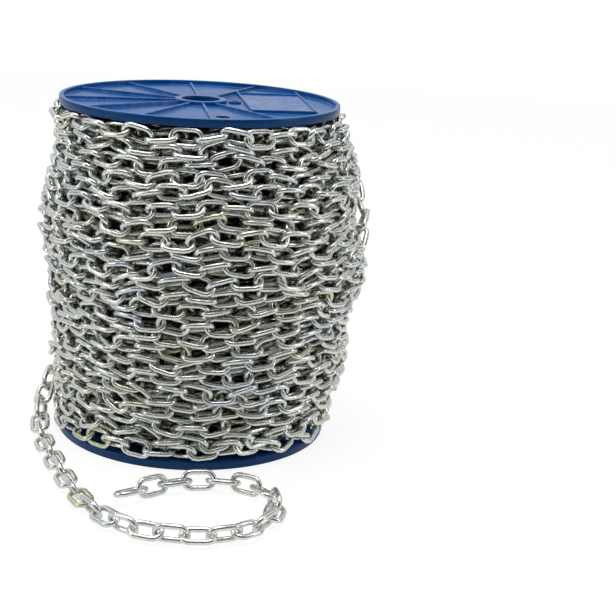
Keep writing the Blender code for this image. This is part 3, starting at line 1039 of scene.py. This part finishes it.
def near_pairs(spots, limit):
    """Index pairs of balls of different links that are closer than a limit."""
    cell = np.floor(spots / limit).astype(np.int64)
    cell -= cell.min(0) - 1
    size = cell.max(0) + 2
    key = (cell[:, 0] * size[1] + cell[:, 1]) * size[2] + cell[:, 2]
    order = np.argsort(key, kind="stable")
    sorted_key = key[order]
    found = []
    for x, y, z in CELLS_AHEAD:
        other = key + (x * size[1] + y) * size[2] + z
        start = np.searchsorted(sorted_key, other, "left")
        count = np.searchsorted(sorted_key, other, "right") - start
        first = np.repeat(np.arange(len(spots)), count)
        offset = np.arange(count.sum()) - np.repeat(np.cumsum(count) - count, count)
        second = order[np.repeat(start, count) + offset]
        keep = first // BALLS != second // BALLS
        if (x, y, z) == (0, 0, 0):
            keep &= first < second
        first, second = first[keep], second[keep]
        close = ((spots[first] - spots[second]) ** 2).sum(1) < limit**2
        found.append((first[close], second[close]))
    return np.concatenate([f for f, _ in found]), np.concatenate([s for _, s in found])


print("cells looked into for each ball:", len(CELLS_AHEAD))

# %% Pushes and pulls
HOOK = 9.3
HOOK_SLACK = 0.35
CORE_DEPTH = 37.0
OFF_THE_FLANGE = 2.2
FLOOR_OF_WINDING = RIM_HEIGHT * MM + OFF_THE_FLANGE
TOP_OF_WINDING = (REEL_HEIGHT - RIM_HEIGHT) * MM - OFF_THE_FLANGE
RIM_REACH = FLANGE_RADIUS * MM + 1.8
OVER_RIM = 5.0
SKIN = 0.5


def touching(spots, first, second):
    """Pairs of balls that overlap, how deep, and the push on the first of each pair."""
    gap = spots[first] - spots[second]
    size = np.linalg.norm(gap, axis=1)
    hit = size < TOUCH
    depth = TOUCH - size[hit]
    push = gap[hit] * (0.5 * depth / np.maximum(size[hit], 1e-6))[:, None]
    return first[hit], second[hit], depth, push


def wall_push(spots, slack, stands):
    """How far each ball has to move to be back between core, envelope and flanges."""
    radius = np.hypot(spots[:, 0], spots[:, 1])
    angle = np.arctan2(spots[:, 1], spots[:, 0])
    envelope = reach(spots[:, 2], angle) - WIRE / 2 * MM - SKIN
    limit = envelope - hollow(spots[:, 2], angle) * ~stands
    outward = np.stack([spots[:, 0], spots[:, 1], np.zeros(len(spots))], 1) / radius[:, None]
    over = np.minimum(limit + slack - radius, 0.0)
    under = np.maximum(envelope - CORE_DEPTH - radius, 0.0)
    push = outward * (over + under)[:, None]
    low = np.where(radius < RIM_REACH, FLOOR_OF_WINDING, FLOOR_OF_WINDING - OVER_RIM)
    high = np.where(radius < RIM_REACH, TOP_OF_WINDING, TOP_OF_WINDING + OVER_RIM)
    push[:, 2] += np.maximum(low - spots[:, 2], 0.0) + np.minimum(high - spots[:, 2], 0.0)
    return push


def hook_pull(middles, axes, first, second):
    """How far the hooked end of each link has to go to reach its neighbour's."""
    pull = (middles[second] - axes[second, 0] * HOOK) - (middles[first] + axes[first, 0] * HOOK)
    length = np.linalg.norm(pull, axis=1)
    return pull * (np.maximum(length - HOOK_SLACK, 0.0) / np.maximum(length, 1e-6))[:, None]


def summed(owner, values, count):
    """Sums of the balls' values for each link."""
    return np.stack([np.bincount(owner, values[:, k], count) for k in range(3)], 1)


def turned(axes, turn):
    """Axes turned by small rotation vectors."""
    size = np.linalg.norm(turn, axis=1)
    line = turn / np.maximum(size, 1e-12)[:, None]
    c, s = np.cos(size)[:, None, None], np.sin(size)[:, None, None]
    wide_line = line[:, None, :]
    across = np.cross(np.broadcast_to(wide_line, axes.shape), axes)
    return axes * c + across * s + wide_line * (axes @ line[:, :, None]) * (1 - c)


# %% Settling the links
MARGIN = 1.1
REBUILD = 8
CROWDING = 0.35
EASE = 0.75
TURN_WEIGHT = 20.0
MOST_SHIFT = 0.4
MOST_TURN = 0.06
DRAWN_IN = 0.004
DRIVE_ROUNDS = 40.0


def settle(middles, axes, hooked, held, slack, stands, rounds, drive):
    """Push the links apart in small rounds; return middles, axes and the overlaps that are left."""
    count = len(middles)
    link_of = np.repeat(np.arange(count), BALLS)
    square = np.tile(ball_inertia, (count, 1))
    hook_inertia = np.array([0.0, HOOK**2, HOOK**2])
    loose = ~held
    slack_balls, stands_balls = np.repeat(slack, BALLS), np.repeat(stands, BALLS)
    drawn_in = np.where(stands | (slack > 0.0), 0.0, DRAWN_IN)[:, None]
    for step in range(rounds):
        spots = (middles[:, None, :] + np.einsum("sk,nkj->nsj", balls, axes)).reshape(-1, 3)
        if step % REBUILD == 0:
            near = near_pairs(spots, TOUCH + MARGIN)
        a, b, depth, push = touching(spots, *near)
        walls = wall_push(spots, slack_balls, stands_balls)
        walled = np.nonzero(np.abs(walls).sum(1) > 1e-6)[0]
        which = np.concatenate([a, b, walled])
        force = np.concatenate([push, -push, walls[walled]])
        owner = link_of[which]
        total = summed(owner, force, count)
        torque = summed(owner, np.cross(spots[which] - middles[owner], force), count)
        inertia = summed(owner, square[which], count)
        hits = np.bincount(owner, minlength=count).astype(float)

        pull = hook_pull(middles, axes, *hooked)
        for owner, sign in zip(hooked, (1.0, -1.0)):
            force = pull * sign
            np.add.at(total, owner, force)
            np.add.at(torque, owner, np.cross(axes[owner, 0] * (HOOK * sign), force))
            np.add.at(inertia, owner, hook_inertia)
            np.add.at(hits, owner, 1.0)

        share = 1.0 / (1.0 + CROWDING * np.maximum(hits - 1.0, 0.0))
        shift = EASE * total * share[:, None] - drawn_in * unit(middles * LEVEL)
        local = np.einsum("nkj,nj->nk", axes, torque) / (inertia + TURN_WEIGHT)
        local *= (EASE * hits * share)[:, None]
        local[:, 0] += drive * min(1.0, step / DRIVE_ROUNDS)
        turn = np.einsum("nkj,nk->nj", axes, local)
        for move, most in ((shift, MOST_SHIFT), (turn, MOST_TURN)):
            length = np.linalg.norm(move, axis=1)
            move *= np.minimum(1.0, most / np.maximum(length, 1e-9))[:, None]
        middles[loose] += shift[loose]
        axes[loose] = turned(axes, turn)[loose]
    return middles, axes, depth if len(depth) else np.zeros(1)


# %% [markdown]
# The loose end comes first, because the winding's last strand has to hook into its first link.
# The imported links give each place: a link is longest along its chain direction and thinnest
# across its flat, so the three main directions of its vertices are the link's own.

# %% Loose end
TAIL_NODES = sorted(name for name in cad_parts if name.startswith("tail_link_"))


def link_pose(node_name):
    """Middle and directions of a packed link: along it, across its width, and its flat's normal."""
    spots = np.array([v.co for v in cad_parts[node_name].data.vertices])
    middle = spots.mean(0)
    _, directions = np.linalg.eigh(np.cov((spots - middle).T))
    along, wide = directions[:, 2], directions[:, 1]
    if wide[2] < 0:
        wide = -wide
    return middle, np.stack([along, wide, np.cross(along, wide)])


tail_poses = [link_pose(name) for name in TAIL_NODES]
for number, (name, (middle, axes)) in enumerate(zip(TAIL_NODES, tail_poses), 1):
    mesh = links_mesh(name, middle[None, :], axes[None, :, :], loose_shape, rng)
    new_piece(f"loose_link_{number:02d}", mesh, zinc, [name])
print("loose links:", len(TAIL_NODES), "first at", np.round(tail_poses[0][0], 4))

# %% [markdown]
# The strands of the winding.  The outermost one comes down from the top and leaves the reel near
# the floor on the left, where it hooks into the loose end.  Its last links lift off the turns
# below on the way out.  A short strand fills the two rows under it, two layers lie behind, and
# the slack loop is a strand of its own.

# %% Laying the strands
LEAVING = 5
TWIST_MIDDLE = 25.0
TWIST_SWING = 26.0
TWIST_PACE = 3.1
FILLER_INSET = LAYER_INSET[0] - 3.5
FILLER_ROWS = 2.0
FILLER_FOOT = LOWEST_ROW - 2.5
FILLER_UNDER = 0.45
START_ANGLES = (2.0, 1.0, 4.0)
SLACK_STRAND = 4
SLACK_TWIST = 40.0


def laid_strands():
    """Middles, axes and strand numbers of all wound links."""
    first_middle, first_axes = tail_poses[0]
    first_middle = (first_middle - np.array(AXIS)) * MM
    second_middle = (tail_poses[1][0] - np.array(AXIS)) * MM
    if (second_middle - first_middle) @ first_axes[0] < 0:
        first_axes = np.stack([-first_axes[0], first_axes[1], -first_axes[2]])
    leave = first_middle - first_axes[0] * HOOK
    row = (HIGHEST_ROW - LOWEST_ROW) / (LAYER_ROWS[0] - 1)
    outer_rows = (HIGHEST_ROW - leave[2]) / row
    outer_start = math.atan2(leave[1], leave[0]) - 2 * np.pi * outer_rows
    plans = (
        (LAYER_INSET[0], outer_rows, HIGHEST_ROW, leave[2], outer_start),
        (FILLER_INSET, FILLER_ROWS, FILLER_FOOT, leave[2] - FILLER_UNDER * row, START_ANGLES[0]),
        (LAYER_INSET[1], LAYER_ROWS[1], LOWEST_ROW, HIGHEST_ROW, START_ANGLES[1]),
        (LAYER_INSET[2], LAYER_ROWS[2], HIGHEST_ROW, LOWEST_ROW, START_ANGLES[2]),
    )
    laid = []
    for number, (inset, rows, low, high, start) in enumerate(plans):
        joints = strand_joints(inset, rows, low, high, start, rng)
        if number == 0:
            drift = leave - joints[-1]
            fade = np.clip(1 - np.arange(len(joints))[::-1] / LEAVING, 0, 1)[:, None]
            joints = joints + drift * fade**2 * (3 - 2 * fade)
        swing = own_wave(np.linspace(0, rows, len(joints) - 1), 1.0, rng, TWIST_PACE)
        twist = np.radians(TWIST_MIDDLE) + np.radians(TWIST_SWING) * swing
        laid.append((*links_on(joints, twist), number))
    laid.insert(1, (first_middle[None, :], first_axes[None, :, :], 0))
    laid.append((*links_on(slack_joints(), np.radians(SLACK_TWIST)), SLACK_STRAND))
    strand = np.concatenate([np.full(len(m), number) for m, _, number in laid])
    return np.vstack([m for m, _, _ in laid]), np.vstack([x for _, x, _ in laid]), strand


middles, axes, strand = laid_strands()
print("links in each strand:", np.bincount(strand).tolist())

# %% [markdown]
# A few outer links in front and on the left stand a little proud, as in any hand-fed winding.
# The chain's ends aren't pushed in: the last links before the loose end are free to leave the
# envelope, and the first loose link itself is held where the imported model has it.

# %% Settling the strands
ROUNDS = 260
STRAY_SHARE = 0.07
STRAY = 2.4
STRAY_SIDE = 0.5
ROLL_DRIVE = np.radians(0.35)
ROLL_BEAT = 0.37

numbers = np.arange(len(middles))
stands = strand == SLACK_STRAND
last_loose = np.nonzero(strand == 0)[0][-1]
held = numbers == last_loose
way = unit(middles[:, :2])
astray = (rng.random(len(middles)) < STRAY_SHARE) & (strand < 2) & (way.max(1) < STRAY_SIDE)
slack = np.where(astray, STRAY, 0.0)
middles[:, :2] += way * slack[:, None]
slack[last_loose - LEAVING - 1:last_loose + 1] = np.inf
same = np.nonzero(strand[1:] == strand[:-1])[0]
drive = ROLL_DRIVE * np.sin(numbers * ROLL_BEAT + 5 * own_wave(numbers / 40, 1.0, rng))
middles, axes, left = settle(middles, axes, (same, same + 1), held, slack, stands, ROUNDS, drive)
print("wound links:", len(middles), "deepest overlap, mm:", round(float(left.max()), 2))
print("mean overlap of balls that touch, mm:", round(float(left.mean()), 3))

# %% [markdown]
# The settled links become joined meshes, a few for the whole winding, so that each stays light.
# Links in front have the roundest wire; the layers behind, seen only through gaps, have less,
# and darker zinc as painted shade.

# %% Winding pieces


def winding_piece(name, chosen, shape, paint):
    """One joined mesh of chosen links, in place of the solid outer turns; returns its triangles."""
    world = middles[chosen] / MM + np.array(AXIS)
    mesh = links_mesh(name, world, axes[chosen], shape, rng)
    new_piece(name, mesh, paint, ["chain_outer_turns"])
    return len(mesh.polygons) * 2


upper = middles[:, 2] > (HIGHEST_ROW + LOWEST_ROW) / 2
outer = ~held & ((strand < 2) | stands)
outer_shape = link_shape(6, 10)
triangles = [
    winding_piece("outer_turns_upper", outer & upper, outer_shape, zinc),
    winding_piece("outer_turns_lower", outer & ~upper, outer_shape, zinc),
    winding_piece("second_turns", strand == 2, link_shape(5, 8, False), second_layer_shaded_zinc),
    winding_piece("third_turns", strand == 3, link_shape(4, 7, False), third_layer_shaded_zinc),
]
print("triangles of the winding's pieces:", triangles)

# %% [markdown]
# Behind the third layer the chain is only a dark mass, so one turned body stands for it.  Its
# side follows the bulge of the winding, and its surface is ridged like chain seen in shadow.  Its
# zinc is darkened nearly to black: painted shade.

# %% Inner turns
INNER_SIDES = 96
INNER_RIDGES = 48
INNER_FOOT = RIM_HEIGHT * MM + 0.3
INNER_TOP = 258.0
INNER_BEHIND = 2.5
BORE_GAP = 0.0003


def inner_turns_mesh():
    """A turned body between the barrel and the third layer, with one ridge for each turn."""
    heights = np.linspace(INNER_FOOT, INNER_TOP, INNER_RIDGES * 2 + 1)
    turn = [2 * math.pi * j / INNER_SIDES for j in range(INNER_SIDES)]
    verts, faces = [], []
    for level, height in enumerate(heights):
        for angle in turn:
            radius = float(reach(height, angle)) - CORE_DEPTH - INNER_BEHIND - (level % 2)
            verts.append((radius * math.cos(angle) / MM, radius * math.sin(angle) / MM, height / MM))
    for height in (heights[-1], heights[0]):
        verts += [(*polar(BARREL_RADIUS + BORE_GAP, angle), height / MM) for angle in turn]
    levels = len(heights) + 2
    for level in range(levels):
        ring, above = level * INNER_SIDES, (level + 1) % levels * INNER_SIDES
        for j in range(INNER_SIDES):
            k = (j + 1) % INNER_SIDES
            faces.append((ring + j, ring + k, above + k, above + j))
    mesh = bpy.data.meshes.new("inner_turns")
    mesh.from_pydata(verts, [], faces)
    mesh.transform(Matrix.Translation(AXIS))
    mesh.shade_smooth()
    mesh.set_sharp_from_angle(angle=math.radians(40))
    return mesh


# Painted shade: the inner turns get zinc darkened nearly to black.
new_piece("inner_turns", inner_turns_mesh(), inner_shaded_zinc, ["chain_inner_turns"])
print("ridges on the inner turns:", INNER_RIDGES)
